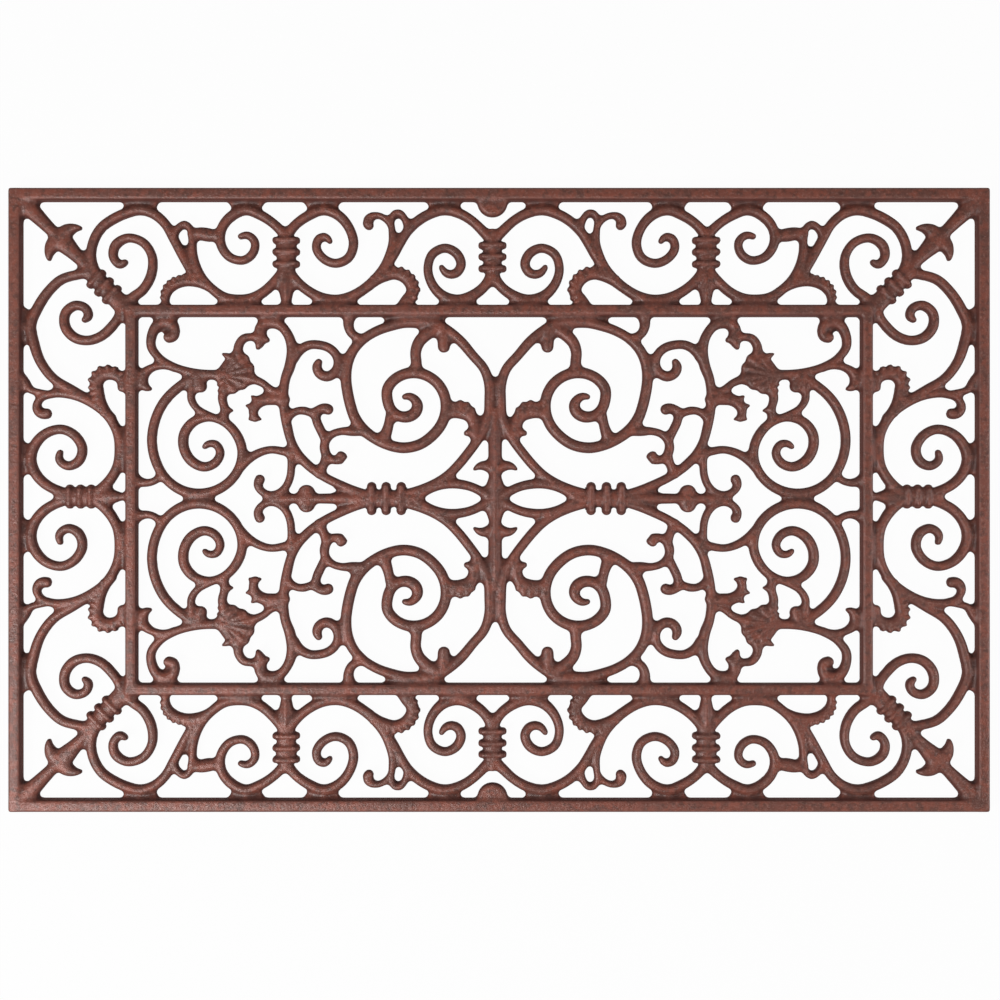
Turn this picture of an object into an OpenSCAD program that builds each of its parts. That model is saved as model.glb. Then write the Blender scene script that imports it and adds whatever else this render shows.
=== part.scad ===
// Cast-iron boot-scraper mat: a flat grille of scrolls in a double frame, for a doorstep.
// X runs along the mat, Y across it and Z up. The origin is at the middle, on the ground.
// The scrolls are drawn for one quarter of the mat and mirrored to the other three.

/* [Mat] */
// Overall length
mat_l = 736; // [700:2:780]
// Overall width
mat_w = 468; // [450:2:490]
// From the outer edge to the inner frame
border_w = 87.5; // [84:0.5:90]
// Where the border's quarters meet, off the mat's middle along X: the pattern was carved by hand
border_meet_x = -5; // [-6:0.5:6]
// Where the border's quarters meet, along Y
border_meet_y = 2.5; // [-3:0.5:3]
// Where the panel's quarters meet, along X
panel_meet_x = -3; // [-6:0.5:6]
// Where the panel's quarters meet, along Y
panel_meet_y = 1; // [-3:0.5:3]

/* [Frames] */
// Width of the outer frame's rails
outer_bar = 10; // [9:0.5:12]
// Height of the outer frame's rails
outer_h = 10; // [9.5:0.5:12]
// Width of the inner frame's rails
inner_bar = 9.2; // [8.4:0.2:11]
// Height of the inner frame's rails
inner_h = 9.5; // [9.5:0.5:11]
// Bevel along the rails' top edges
bevel = 1.2; // [0.6:0.2:2]

/* [Scrolls] */
// Thickness of the scroll bars, as a share of the drawn one
bar_scale = 1; // [0.95:0.01:1.1]
// Height of the scrolls
scroll_h = 8; // [6:0.5:9]
// Height of the ribs on collars and shells
rib_h = 9.5; // [8.5:0.5:11]

/* [Feet] */
// Height of the feet
foot_h = 4; // [2:0.5:8]
// Diameter of a foot on the ground
foot_d = 11; // [8:0.5:12]
// Radius of the lug above each middle foot
lug_r = 11.5; // [10:0.5:14]

/* [Hidden] */
// Turn of a bar between two facets of its side, in degrees
facet_turn = 20;
half = [mat_l / 2, mat_w / 2];
inner = [half.x - border_w, half.y - border_w];
border_meet = [border_meet_x, border_meet_y];
panel_meet = [panel_meet_x, panel_meet_y];
// Where the quarters meet, as seen from the quarter that is being drawn
$meet = [0, 0];
foot_inset = 8;
foot_taper = 2;
iron = [0.36, 0.23, 0.19];
dark_iron = [0.30, 0.19, 0.16];
light_iron = [0.42, 0.27, 0.22];

// Each bar is a list of points [x, y, width] on the drawn quarter, joined by a smooth curve.

// Corner: the spear's shaft and blade, on the diagonal, and one of its two barbs
spear = [
    [[360, 226, 13], [347, 213, 12], [333, 199, 10]],
    [[336, 202, 10], [327, 193, 14], [320, 186, 11], [313, 179, 9], [300, 166, 9]]];
spear_barb = [[328, 199, 12], [324, 203, 8.5], [319.5, 204.5, 5], [314.5, 204.5, 1.6]];
// Corner: the ribbed collar under the spear, and the distance of its ribs from the inner frame
corner_collar = [[280.5, 146.5, 14], [292, 158, 13], [306, 172, 11]];
corner_ribs = [11.5, 20.5, 29.5];
// Corner: the arc over the long side, then the spiral inside it
long_arc = [[303, 171, 7], [307, 183, 7], [305, 195, 7], [299, 205, 7], [290, 212, 8], [280, 217, 9],
    [270, 220.5, 11.5], [260, 216, 8], [251, 208, 7], [244, 196, 7], [237, 183, 7], [230, 170, 6]];
long_spiral = [[281, 147, 8], [276, 152, 7.5], [268, 158, 7], [261, 171, 7], [261, 184, 6.5],
    [268, 194, 6.5], [280, 197, 6.5], [289, 191, 7], [290, 182, 6.5], [285, 177, 6], [281, 179, 4]];
// Corner: the arc beside the short side, then the spiral inside it
short_arc = [[304, 171, 7], [317, 169.5, 7], [329, 166, 7], [339, 157, 7], [347, 145, 8], [354.5, 132, 11.5],
    [351, 118, 9], [345, 103, 7], [335, 90, 7], [322, 82, 7], [306, 73, 6]];
short_spiral = [[284, 146, 8], [286, 138, 7], [292, 129.5, 7], [300, 122.5, 7], [310, 119.5, 7],
    [320, 122, 7.5], [326.5, 130, 7.5], [326, 141, 7], [318, 146.5, 7], [310.5, 143.5, 6.5],
    [309, 138, 6], [312, 135, 4]];

// Long border: the collar between two scrolls, its dart to the inner frame, and its ribs
long_collar = [[158, 204, 10], [158, 196, 13], [158, 176, 13], [158, 160, 11], [158, 152, 6.5],
    [158, 145, 6]];
long_rib_x = 158;
long_ribs = [195.5, 187, 178];
// Long border, towards the corner: spiral, hanging arc with its loop, bud, and leaf
bud_spiral = [[159, 203, 8], [169, 208.5, 7], [178, 215.5, 7.5], [189, 220.5, 11.5], [201, 214, 8],
    [208, 204, 7], [208, 192, 7], [201, 182.5, 6.5], [190, 180.5, 6], [183, 186.5, 6], [182, 194, 6],
    [187, 199, 5.5], [193, 198, 4]];
bud_arc = [[159, 173, 9], [167, 164, 7.5], [176, 156, 7.5], [186, 151, 8.5], [195, 150, 9], [205, 152, 8],
    [214, 158, 7], [222, 166, 7], [227, 175, 7], [229.5, 186, 6], [230, 196, 5.5], [231.5, 204, 5],
    [235.5, 207.5, 5], [240, 205, 5], [244, 197, 5]];
bud = [[209, 198.5, 6], [218, 199.5, 10], [225, 200.5, 9], [230, 200, 7]];
bud_leaf = [
    [[216, 159, 6], [228, 165, 9], [237, 164.5, 8], [244, 162, 8], [249, 157, 7], [250.5, 150, 5.5],
        [250.5, 145, 6]],
    [[234, 166, 6], [235, 168.5, 4]],
    [[242, 164, 6], [246, 168.5, 2.5]],
    [[247, 161, 6], [251.5, 164.5, 3]],
    [[248, 158, 5], [253.5, 159, 2.5]]];
// Long border, towards the middle: spiral, hanging arc with its loop, free curl, and leaf
curl_spiral = [[157, 203, 8], [149, 208.5, 7], [140, 216, 7.5], [130, 220.5, 11.5], [118, 215, 8],
    [110, 205, 7], [106.5, 192, 7], [110, 182.5, 6.5], [120, 178, 6.5], [130, 182, 6.5], [135, 190, 6.5],
    [133, 196.5, 6], [128, 198, 5.5], [124.5, 194.5, 4]];
curl_arc = [[157, 173, 9], [149, 163.5, 7.5], [140, 156.5, 7.5], [130, 151.5, 8.5], [118, 150, 9],
    [107, 153.5, 8], [98, 159, 7.5], [90, 166, 7.5], [83, 175, 7], [79, 184, 6.5], [76.5, 194, 6],
    [77, 203, 5], [77.5, 210, 4.5], [75, 215.5, 4.5], [71, 216, 4.5], [67.5, 212, 5], [65, 205, 6]];
curl = [[77, 204, 4.5], [82, 211.5, 4.5], [88, 214, 4.5], [94, 212.5, 6], [96, 208.5, 7], [94.5, 206.5, 7]];
curl_leaf = [
    [[95, 160, 6], [83, 168.5, 8.5], [75, 170.5, 9], [67, 168, 9.5], [62, 162, 9.5], [61, 156, 9],
        [65, 151, 9], [68.5, 145, 10]],
    [[75, 171, 7], [72.5, 175, 3.5]],
    [[68, 169, 7], [64, 172.5, 3.5]],
    [[63, 165, 7], [58, 167, 3.5]],
    [[62, 160, 7], [56, 159, 3]],
    [[62, 156, 6], [58, 152.5, 3]]];

// Long border, middle: collar and ribs, arc under the rail, and spiral on the inner frame
middle_collar = [[0, 199, 10], [0, 191, 13], [0, 176, 13], [0, 167, 9]];
middle_ribs = [191.5, 183, 174];
middle_arc = [[0, 195, 9], [8, 203, 7.5], [15, 209.5, 7], [25, 216.5, 8], [37, 220.5, 11.5], [49, 216, 8],
    [59, 209, 7.5], [66, 201, 7], [71, 193, 7], [76, 184, 7], [84, 172, 6]];
middle_spiral = [[0, 171, 9], [6, 161, 7.5], [14, 154.5, 8], [27, 150, 9], [38, 153.5, 8], [46, 162, 7],
    [49.5, 174, 6.5], [46, 185, 6.5], [36, 189.5, 6.5], [27, 185, 7], [24, 177, 7], [28, 170.5, 6.5],
    [34, 170, 6], [39, 175, 4]];

// Short border: collar with its dart, ribs, and scroll on the outer rail
end_collar = [[279, 0, 4], [283, 0, 5], [290, 0, 10], [298, 0, 13], [328, 0, 12]];
end_ribs = [307, 315, 323];
end_spiral = [[318, 1, 9], [332, 4.5, 7.5], [342, 10, 7.5], [350, 18, 8.5], [354.5, 29, 11.5], [349, 41, 8],
    [340, 49, 7], [329, 51.5, 7], [318.5, 46, 7], [313.5, 36, 7], [317, 26.5, 7], [325, 23.5, 6.5],
    [331, 28.5, 5.5], [330, 34, 4]];
// Short border: arc on the inner frame up to its curl, twig to the outer rail, and leaf
end_arc = [[340.5, 63.5, 8], [345, 63.5, 7], [348, 68, 6], [345.5, 74.5, 5], [337, 78.5, 6], [322, 78, 6.5],
    [307, 72, 7], [294, 61.5, 7], [287, 49, 7.5], [284.5, 36, 9.5], [287.5, 22, 7.5], [296, 9, 8],
    [306, 1, 9]];
end_twig = [[332, 79, 4], [345, 80, 4], [353, 82, 5.5], [356, 87, 6], [359, 93, 4]];
end_leaf = [
    [[291, 60, 6], [299, 70, 8], [302, 80, 9], [303, 88, 10], [298, 94, 10.5], [290, 94, 9.5], [284.5, 90, 8],
        [283.5, 83.5, 7]],
    [[303, 87, 6], [309.5, 86, 2.5]],
    [[301, 92, 7], [306, 96.5, 3]],
    [[296, 95, 7], [299, 100, 3]],
    [[291, 95, 7], [291.5, 98, 4]]];

// Panel, outer third: hook on the inner frame, its twig, the great spiral, and its tie to the frame
hook = [[248, 122, 8], [244.5, 123, 7], [243.5, 128, 7], [249, 134, 10.5], [256, 132, 8.5], [261, 124, 7],
    [261.5, 115, 6.5], [256, 107, 6], [245, 100, 6], [233, 96, 6.5], [219, 94, 7], [206, 94, 8]];
hook_twig = [[244, 99, 6], [255, 100.5, 5], [263, 98, 6], [268.5, 92, 9], [266.5, 85, 7], [262, 83, 2.5]];
side_spiral = [[226, 93, 7], [240, 85, 7], [252, 73, 7], [259, 58, 7], [261, 43, 7], [258, 28, 7],
    [250, 14.5, 7], [239, 6.5, 7.5], [226, 3.5, 8], [213, 6, 7.5], [201, 14, 7], [194, 25, 7], [192.5, 37, 7],
    [197, 49, 7], [206, 58, 6.5], [217, 61.5, 6], [229, 58.5, 7], [236.5, 49, 7.5], [236.5, 37.5, 7.5],
    [230.5, 28, 7.5], [221, 24, 7], [212.5, 27.5, 6.5], [209, 35, 6], [213, 41.5, 5.5], [218, 41.5, 5],
    [221, 39, 3.5]];
side_tie = [[253, 19, 5], [258, 14, 5], [264, 12, 5.5], [272, 13.5, 8]];
side_bell = [
    [[230, 91, 6], [231, 82, 5.5], [231, 75, 5.5], [227, 68.5, 5], [220, 64.5, 4.5], [211, 61, 4.5]],
    [[226, 91, 9], [224, 85, 9.5]]];

// Panel: the shell, whose lobes fan out from its root, and the stems that leave it
shell_root = [207, 93, 12];
shell_tips = [[205.5, 107.5, 3.5], [198.5, 106, 9], [191.5, 105, 8.5], [188.5, 98.5, 9.5], [187, 91.5, 9.5],
    [193, 87.5, 9], [200, 84, 8.5], [205.5, 82, 6], [209.5, 86, 3]];
shell_stems = [
    [[193, 105, 8], [195, 116, 6.5], [191, 121.5, 6], [185, 122.5, 5.5], [178, 122, 5]],
    [[187, 91, 7], [177, 87.5, 5.5], [170, 82.5, 5], [161.5, 80, 5]],
    [[205, 84, 7], [207.5, 76, 6.5], [206, 69, 6], [206, 60, 6]],
    [[205, 68, 5], [199.5, 66.5, 1.5]]];

// Panel: the lyre from the frame to the stem, its top leaf, its hanging leaf, and its scroll
lyre = [[179, 127, 7], [177, 132, 8], [170, 134.2, 10.5], [163, 131, 7.5], [157.5, 124, 7], [154.5, 114, 8],
    [156, 101, 8], [159.5, 91, 7], [161, 80, 7], [160.5, 68, 7], [158, 54, 7], [155, 43, 6.5], [150, 33.5, 7],
    [143, 26, 7], [131, 17, 6.5], [118, 10.5, 6.5], [104, 5, 6.5], [94, 2.5, 6]];
lyre_leaves = [
    [[179, 128, 8], [178.5, 121, 9], [180.5, 114, 3]],
    [[177, 121.5, 8], [173, 120, 3.5]],
    [[160, 75, 8], [169, 76, 10], [176, 75, 9], [182, 71, 8], [184, 65, 6.5], [182.5, 61, 6]],
    [[180, 74, 6], [185, 77.5, 2]],
    [[183, 70, 5], [189.5, 70.5, 1.5]],
    [[183, 61, 4], [187, 60, 2]],
    [[182, 61, 4], [178, 60, 1.5]]];
lyre_scroll = [[153, 107, 8], [148, 113, 7], [141, 116.5, 6.5], [134, 116.5, 6.5], [126, 114, 6.5],
    [121, 109, 6.5], [119.5, 102, 6.5], [122, 95.5, 7], [128, 92.5, 7.5], [134, 95, 7], [135.5, 100, 7],
    [134, 103.5, 5]];
// Panel: tendrils between the lyre and the oval, then the arc and the loop at the lyre's foot
tendrils = [
    [[157, 62, 6], [150, 66.5, 5.5], [144.5, 66.5, 6], [139.5, 65, 5.5], [134.5, 67.5, 6], [129, 68.5, 7.5],
        [127, 67.5, 8]],
    [[137, 66, 6], [135.5, 58, 6.5], [132.5, 51.5, 6.5], [129.5, 45, 6]],
    [[99, 51, 6], [109, 51, 7], [117, 51, 5.5], [124.5, 48.5, 5.5], [129.5, 42.5, 6.5], [129.5, 36, 7],
        [126, 30.5, 6], [120.5, 29, 6], [116, 31, 7.5], [117.5, 33, 6]],
    [[128.5, 35, 6], [130, 27, 6.5], [134, 18, 6]]];
lyre_feet = [
    [[151, 33, 6], [160, 35.5, 6], [171, 37, 5.5], [180, 34.5, 6], [188, 29.5, 6.5], [193, 24, 6]],
    [[155.5, 35, 6], [155, 24, 5.5], [156, 16, 5.5], [159.5, 8.5, 5.5], [165, 4, 5.5], [171, 2.5, 6],
        [177, 5, 5.5], [180.5, 10, 6], [179, 14.5, 7.5]]];

// Panel, inner third: the oval from the stem round to its spiral, and its tie to the frame
oval = [[66, 4.5, 6], [54.5, 7.5, 7], [44.5, 12, 7], [35.5, 18, 7], [28, 25.5, 7], [21, 34, 7], [14, 43.5, 7],
    [8.5, 53, 7], [5, 63, 7.5], [4.8, 75, 7.5], [7, 88, 7.5], [11, 99, 7], [17.5, 109, 7], [26, 119, 7.5],
    [35.5, 127, 7.5], [45.5, 132.5, 8.5], [56, 134.3, 10.5], [68, 134, 9], [79, 131, 7.5], [90, 127, 7],
    [100, 121, 7], [108, 112.5, 7.5], [112.5, 102, 8], [113.5, 91, 8], [112, 79, 8], [108, 64, 8]];
oval_spiral = [[108, 64, 8], [102, 54, 8.5], [93, 46.5, 8], [82, 41, 8], [70, 38.5, 8], [57.5, 41, 8],
    [47.5, 48, 8], [40.5, 57, 8], [37.5, 67, 8], [38.5, 78, 8], [43.5, 87, 8], [51.5, 93, 8],
    [60.5, 95.5, 8.5], [70, 94, 8], [77.5, 89.5, 8], [82, 83, 8], [82, 75, 8], [79, 67, 7.5],
    [73, 62.5, 7], [66.5, 62, 7], [60.5, 65.5, 7], [58.7, 71, 6.5], [61, 76, 6], [65, 78, 5], [69.5, 77, 3]];
oval_ties = [
    [[103, 122, 6], [109, 125, 6.5], [111.5, 131, 7.5], [110.5, 138, 9]],
    [[80, 62, 7], [81.5, 54, 7.5], [85, 45, 10]],
    [[44, 129, 8], [53.5, 124.5, 9], [60, 118.5, 8.5], [63, 111, 8], [62, 103, 8], [61, 96, 9]],
    [[41.5, 125, 9], [42, 116, 9.5]]];
oval_leaf = [
    [[37, 66, 8], [31, 69.5, 10], [24, 70, 12], [18.5, 66, 10], [16, 59, 9], [15, 52, 9], [14, 44, 8]],
    [[31, 70, 8], [31.5, 74.5, 4]],
    [[26.5, 72, 7], [26.5, 77, 4]],
    [[21.5, 71, 7], [21, 76, 4]],
    [[17.5, 68, 7], [15.5, 72.5, 3.5]],
    [[17, 51, 7], [22.5, 49.5, 4]]];

// Panel, middle: the cross with its barbs and eyes, and the ribbed stem with its bead
cross = [
    [[0, 0, 17], [0, 8, 15], [0, 16, 9.5], [0, 32, 10], [0, 62, 10], [0, 93, 8]],
    [[3, 23, 8], [10, 25, 6.5], [16, 22, 2]]];
eye = [[2, 0, 9], [9, 4.5, 7], [17, 8.5, 6.5], [27.5, 11, 7], [37.5, 11, 7], [47.5, 8.5, 7], [56, 4, 7],
    [62, 0, 7]];
stem = [[66, 0, 11], [80, 0, 13], [100, 0, 13], [112, 0, 9], [128, 0, 7.5], [168, 0, 8]];
stem_ribs = [71.5, 83, 94];
stem_bead = [[143.5, 0, 15], [143.5, 4, 13]];
// Ribs: half the straight length and the width, on each kind of collar
border_rib = [7.5, 6];
corner_rib = [5.5, 6];
stem_rib = [9.3, 5.4];
// How much narrower the raised part of a rib is than its base
rib_inset = 1.4;
// The drawing fits the mat at two marks: the collar's root, on the inner frame's corner,
// and the spear's root, over the corner foot
drawn_inner = [corner_collar[0].x, corner_collar[0].y];
drawn_half = [spear[0][0].x + foot_inset, spear[0][0].y + foot_inset];
// Width of the raised line on each lobe of a shell, and where it starts between the root and the tip
shell_line = 2.6;
shell_line_start = 0.5;

SIDES = ["back", "front"];
ENDS = ["left", "right"];
QUARTERS = [for (s = SIDES) for (e = ENDS) str(s, "_", e)];

// Places a drawn point on the real mat, so that the scrolls still meet each other and both frames
function stretch(v, i) =
    v <= drawn_inner[i]
        ? $meet[i] + v * (inner[i] - $meet[i]) / drawn_inner[i]
        : inner[i] + (v - drawn_inner[i]) * border_w / (drawn_half[i] - drawn_inner[i]);
function fit(p) = [stretch(p.x, 0), stretch(p.y, 1), p.z * bar_scale];

// A smooth curve through points: at each one it heads along the parabola through its neighbours
function gap(p, i) = norm([p[i + 1].x - p[i].x, p[i + 1].y - p[i].y]);
function step(p, i) = (p[i + 1] - p[i]) / gap(p, i);
function inside_slope(p, i) =
    let (a = gap(p, i - 1), b = gap(p, i)) (step(p, i - 1) * b + step(p, i) * a) / (a + b);
function slope(p, i) =
    len(p) == 2 ? step(p, 0)
    : i == 0 ? 2 * step(p, 0) - inside_slope(p, 1)
    : i == len(p) - 1 ? 2 * step(p, i - 1) - inside_slope(p, i - 1)
    : inside_slope(p, i);
function on_curve(p, i, t) =
    let (d = gap(p, i))
    (2 * t ^ 3 - 3 * t ^ 2 + 1) * p[i] + (t ^ 3 - 2 * t ^ 2 + t) * d * slope(p, i)
        + (3 * t ^ 2 - 2 * t ^ 3) * p[i + 1] + (t ^ 3 - t ^ 2) * d * slope(p, i + 1);
function heading(p, i, t) =
    let (d = gap(p, i),
        v = (6 * t ^ 2 - 6 * t) * (p[i] - p[i + 1]) + (3 * t ^ 2 - 4 * t + 1) * d * slope(p, i)
            + (3 * t ^ 2 - 2 * t) * d * slope(p, i + 1))
    [v.x, v.y] / norm([v.x, v.y]);
function turn(a, b) = acos(max(-1, min(1, a * b)));
function edge(p, i, t, side) =
    let (c = on_curve(p, i, t), h = heading(p, i, t))
    [c.x, c.y] + side * c.z / 2 * [-h.y, h.x];

// One bar with round ends. Its strip is made of triangles, which stay sound where a tight curl folds.
module bar(points) {
    p = [for (q = points) fit(q)];
    for (i = [0 : len(p) - 2]) {
        n = max(1, ceil(turn(heading(p, i, 0), heading(p, i, 1)) / facet_turn));
        for (k = [0 : n - 1]) {
            polygon([edge(p, i, k / n, 1), edge(p, i, (k + 1) / n, 1), edge(p, i, k / n, -1)]);
            polygon([edge(p, i, (k + 1) / n, 1), edge(p, i, (k + 1) / n, -1), edge(p, i, k / n, -1)]);
        }
    }
    for (end = [p[0], p[len(p) - 1]])
        translate([end.x, end.y]) circle(d = end.z, $fn = 12);
}

module bars(list) {
    for (points = list) bar(points);
}

module flipped(v) {
    $meet = [v.x == 1 ? -$meet.x : $meet.x, v.y == 1 ? -$meet.y : $meet.y];
    mirror(v) children();
}

module across(v) {
    children();
    flipped(v) children();
}

// Turns the drawn quarter into another one, for a border or a panel whose quarters meet at a point
module to_quarter(side, end, meet) {
    $meet = meet;
    flipped([end == "left" ? 1 : 0, 0]) flipped([0, side == "front" ? 1 : 0]) children();
}

// Both frames in plan, which every scroll is cast onto
module frame(outside, width) {
    difference() {
        square(2 * outside, center = true);
        square(2 * [outside.x - width, outside.y - width], center = true);
    }
}

module frames() {
    frame(half, outer_bar);
    frame(inner, inner_bar);
}

// The first child in one outline, cut back to the frames and to the other children
module own_part() {
    offset(delta = 0) difference() {
        children(0);
        frames();
        if ($children > 1) children([1 : $children - 1]);
    }
}

module within_quarter() {
    intersection() {
        children();
        translate($meet) square(half);
    }
}

// A rib is a short bar across a collar
function rib(c, dir, size) = [
    [c.x - dir.x * size.x, c.y - dir.y * size.x, size.y],
    [c.x + dir.x * size.x, c.y + dir.y * size.x, size.y]];
corner_rib_bars = [for (u = corner_ribs)
    rib(drawn_inner + u * [1, 1] / sqrt(2), [1, -1] / sqrt(2), corner_rib)];
long_rib_bars = [for (y = long_ribs) rib([long_rib_x, y], [1, 0], border_rib)];
middle_rib_bars = [for (y = middle_ribs) rib([0, y], [1, 0], border_rib)];
end_rib_bars = [for (x = end_ribs) rib([x, 0], [0, 1], corner_rib)];
stem_rib_bars = [for (x = stem_ribs) rib([x, 0], [0, 1], stem_rib)];

function shell_ridge(tip) = [for (t = [shell_line_start, 1])
    [shell_root.x + t * (tip.x - shell_root.x), shell_root.y + t * (tip.y - shell_root.y), shell_line]];

// Mirrors a point over the diagonal from the inner frame's corner to the outer one
function over_diagonal(p) = [p.y + drawn_half.x - drawn_half.y, p.x - drawn_half.x + drawn_half.y, p.z];

module corner_plan() {
    bars(concat(spear, [spear_barb, [for (p = spear_barb) over_diagonal(p)]]));
    bars(concat([corner_collar, long_arc, long_spiral, short_arc, short_spiral], corner_rib_bars));
}

module long_plan() {
    bars(concat([long_collar, bud_spiral, bud_arc, bud, curl_spiral, curl_arc, curl], long_rib_bars));
    bars(concat(bud_leaf, curl_leaf));
}

module middle_plan() {
    across([1, 0]) bars([middle_collar, middle_arc, middle_spiral]);
    bars(middle_rib_bars);
}

module end_plan() {
    across([0, 1]) bars(concat([end_collar, end_spiral, end_arc, end_twig], end_leaf));
    bars(end_rib_bars);
}

module side_plan() {
    bars(concat([hook, hook_twig, side_spiral, side_tie], side_bell));
}

module shell_plan() {
    for (tip = shell_tips) bar([shell_root, tip]);
    bars(shell_stems);
}

module lyre_plan() {
    bars(concat([lyre, lyre_scroll], lyre_leaves, tendrils, lyre_feet));
}

module oval_plan() {
    bars(concat([oval, oval_spiral], oval_ties, oval_leaf));
}

module cross_plan() {
    across([0, 1]) across([1, 0]) bars(concat(cross, [eye]));
}

module stem_plan() {
    across([0, 1]) bars([stem, stem_bead]);
    bars(stem_rib_bars);
}

// Everything but the feet stands on a plane at the feet's tops
module raised(h) {
    translate([0, 0, foot_h]) linear_extrude(h) children();
}

// The raised parts of a collar's ribs
module raised_ribs(list) {
    for (points = list)
        raised(rib_h) offset(delta = -rib_inset / 2) bar(points);
}

module rail(length, width, h) {
    section = [[-width / 2, 0], [width / 2, 0], [width / 2, h - bevel], [width / 2 - bevel, h],
        [bevel - width / 2, h], [-width / 2, h - bevel]];
    mitred = [[-length / 2, width / 2], [length / 2, width / 2], [length / 2 - width, -width / 2],
        [width - length / 2, -width / 2]];
    translate([0, 0, foot_h]) intersection() {
        rotate([90, 0, 90]) linear_extrude(length, center = true) polygon(section);
        linear_extrude(h) polygon(mitred);
    }
}

// A frame's rail on one side of the mat, from the frame's half size
module placed_rail(where, outside, width, h) {
    along_x = where == "back" || where == "front";
    flip = where == "front" || where == "right";
    rotate(along_x ? 0 : 90) rotate(flip ? 180 : 0)
        translate([0, (along_x ? outside.y : outside.x) - width / 2])
            rail(2 * (along_x ? outside.x : outside.y), width, h);
}

// The lug is a half disc on the rail's inner edge
module lug() {
    raised(outer_h - bevel) intersection() {
        translate([$meet.x, half.y - outer_bar]) circle(lug_r, $fn = 64);
        translate([$meet.x - lug_r, half.y - outer_bar - lug_r]) square([2 * lug_r, lug_r + outer_bar / 2]);
    }
}

module outer_rail(where) {
    color(iron) {
        placed_rail(where, half, outer_bar, outer_h);
        if (where == "back" || where == "front") to_quarter(where, "right", border_meet) lug();
    }
}

module inner_rail(where) {
    color(iron) placed_rail(where, inner, inner_bar, inner_h);
}

module corner_scroll(side, end) {
    color(iron) to_quarter(side, end, border_meet) {
        raised(scroll_h) own_part() {
            corner_plan();
            long_plan();
            end_plan();
        }
        raised_ribs(corner_rib_bars);
    }
}

module long_scroll(side, end) {
    color(dark_iron) to_quarter(side, end, border_meet) {
        raised(scroll_h) own_part() long_plan();
        raised_ribs(long_rib_bars);
    }
}

module middle_scroll(side) {
    color(light_iron) to_quarter(side, "right", border_meet) {
        raised(scroll_h) own_part() {
            middle_plan();
            across([1, 0]) long_plan();
        }
        raised_ribs(middle_rib_bars);
    }
}

module end_scroll(end) {
    color(light_iron) to_quarter("back", end, border_meet) {
        raised(scroll_h) own_part() end_plan();
        raised_ribs(end_rib_bars);
    }
}

module side_scroll(side, end) {
    color(dark_iron) to_quarter(side, end, panel_meet)
        raised(scroll_h) own_part() within_quarter() side_plan();
}

module lyre_work(side, end) {
    color(iron) to_quarter(side, end, panel_meet)
        raised(scroll_h) own_part() {
            within_quarter() lyre_plan();
            oval_plan();
            side_plan();
            stem_plan();
        }
}

module oval_work(side, end) {
    color(dark_iron) to_quarter(side, end, panel_meet)
        raised(scroll_h) own_part() {
            within_quarter() oval_plan();
            cross_plan();
            stem_plan();
        }
}

module shell(side, end) {
    color(light_iron) to_quarter(side, end, panel_meet) {
        raised(scroll_h) own_part() {
            shell_plan();
            side_plan();
            lyre_plan();
        }
        raised(rib_h) offset(delta = 0)
            for (tip = shell_tips) bar(shell_ridge(tip));
    }
}

module stem_work(end) {
    color(light_iron) to_quarter("back", end, panel_meet) {
        raised(scroll_h) own_part() {
            stem_plan();
            cross_plan();
        }
        raised_ribs(stem_rib_bars);
    }
}

module cross_work() {
    color(light_iron) to_quarter("back", "right", panel_meet)
        raised(scroll_h) own_part() cross_plan();
}

module foot(place) {
    color(dark_iron) translate(place) cylinder(h = foot_h, d1 = foot_d, d2 = foot_d + foot_taper, $fn = 48);
}

for (where = concat(SIDES, ENDS)) {
    outer_rail(where);
    inner_rail(where);
}
for (side = SIDES) {
    for (end = ENDS) {
        quarter = str(side, "_", end);
        corner_scroll(side, end);
        long_scroll(side, end);
        side_scroll(side, end);
        lyre_work(side, end);
        oval_work(side, end);
        shell(side, end);
        to_quarter(side, end, border_meet) foot(half - [foot_inset, foot_inset]);
    }
    middle_scroll(side);
    to_quarter(side, "right", border_meet) foot([border_meet.x, half.y - outer_bar]);
}
for (end = ENDS) {
    end_scroll(end);
    stem_work(end);
}
cross_work();  // cross
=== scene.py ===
"""Cast-iron scraper mat: scrolls, leaves and shells in a double frame, on six short feet."""
import math

import bmesh
import bpy
import numpy as np
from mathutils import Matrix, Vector
from mathutils.bvhtree import BVHTree


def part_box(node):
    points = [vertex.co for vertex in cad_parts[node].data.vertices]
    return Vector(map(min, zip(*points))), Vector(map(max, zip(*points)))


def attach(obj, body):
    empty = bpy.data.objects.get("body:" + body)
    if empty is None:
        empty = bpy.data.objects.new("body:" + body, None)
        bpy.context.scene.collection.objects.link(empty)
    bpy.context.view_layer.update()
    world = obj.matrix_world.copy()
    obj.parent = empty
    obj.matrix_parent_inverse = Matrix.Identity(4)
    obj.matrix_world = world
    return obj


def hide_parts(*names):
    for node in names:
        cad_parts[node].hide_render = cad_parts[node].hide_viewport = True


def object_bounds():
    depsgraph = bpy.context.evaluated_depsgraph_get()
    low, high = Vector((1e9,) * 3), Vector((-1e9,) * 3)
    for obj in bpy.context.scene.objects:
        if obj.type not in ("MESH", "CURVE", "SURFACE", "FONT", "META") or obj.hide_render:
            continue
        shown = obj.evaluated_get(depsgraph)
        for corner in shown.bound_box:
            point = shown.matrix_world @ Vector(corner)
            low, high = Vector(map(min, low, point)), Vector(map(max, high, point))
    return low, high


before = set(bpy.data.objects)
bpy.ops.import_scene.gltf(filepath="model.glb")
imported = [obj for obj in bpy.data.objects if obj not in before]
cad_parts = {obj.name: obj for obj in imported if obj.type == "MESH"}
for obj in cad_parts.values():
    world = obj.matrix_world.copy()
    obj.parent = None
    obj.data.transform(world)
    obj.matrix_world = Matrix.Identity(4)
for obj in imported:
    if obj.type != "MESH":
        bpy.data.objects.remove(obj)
cad_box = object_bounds()

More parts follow.
